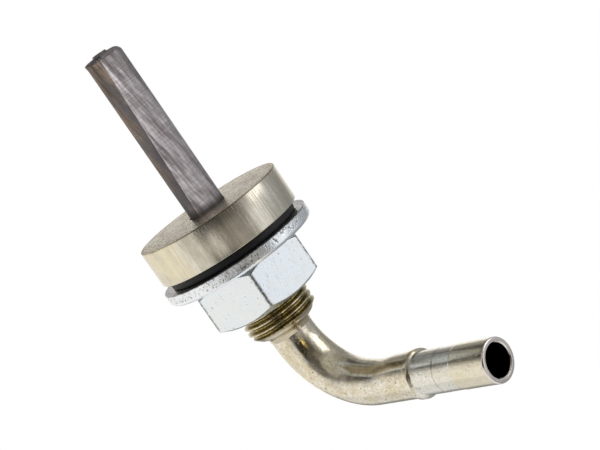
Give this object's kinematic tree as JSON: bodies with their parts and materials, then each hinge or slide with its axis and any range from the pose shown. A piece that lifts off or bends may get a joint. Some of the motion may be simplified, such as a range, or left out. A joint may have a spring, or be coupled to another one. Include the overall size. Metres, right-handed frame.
{
  "type": "fuel bulkhead fitting",
  "caption": "Tank outlet fitting: round flange with seal, washer and nut on a threaded shank, gauze strainer inside the tank and a bent hose tube outside.",
  "frame": {"origin": "centre of the flange underside, the face that clamps the seal against the tank wall", "axes": "+Z along the main axis into the tank, towards the strainer; the outlet tube bends towards +X"},
  "size_m": [0.0651, 0.0344, 0.0927],
  "materials": {
    "plated_body": "nickel plated, scuffed",
    "wire_gauze": "woven wire, dull",
    "rubber": "matt black",
    "zinc_washer": "bright zinc plated",
    "zinc_nut": "bright zinc plated",
    "plated_tube": "nickel plated, polished and pitted"
  },
  "bodies": {
    "fitting": {"fitting_body": "plated_body", "strainer_screen": "wire_gauze", "sealing_washer": "rubber", "elbow_tube": "plated_tube"},
    "washer": {"flat_washer": "zinc_washer"},
    "nut": {"hex_nut": "zinc_nut"}
  },
  "joints": [
    {"name": "washer_slide", "type": "slide", "parent": "fitting", "child": "washer", "axis": [0, 0, -1], "range_m": [0, 0.006]},
    {"name": "nut_turn", "type": "hinge", "parent": "washer", "child": "nut", "pos_m": [0, 0, 0], "axis": [0, 0, -1], "range_deg": [0, 1440]}
  ],
  "couplings": [
    {"joint": "washer_slide", "follows": "nut_turn", "m_per_rad": 0.00023873}
  ]
}
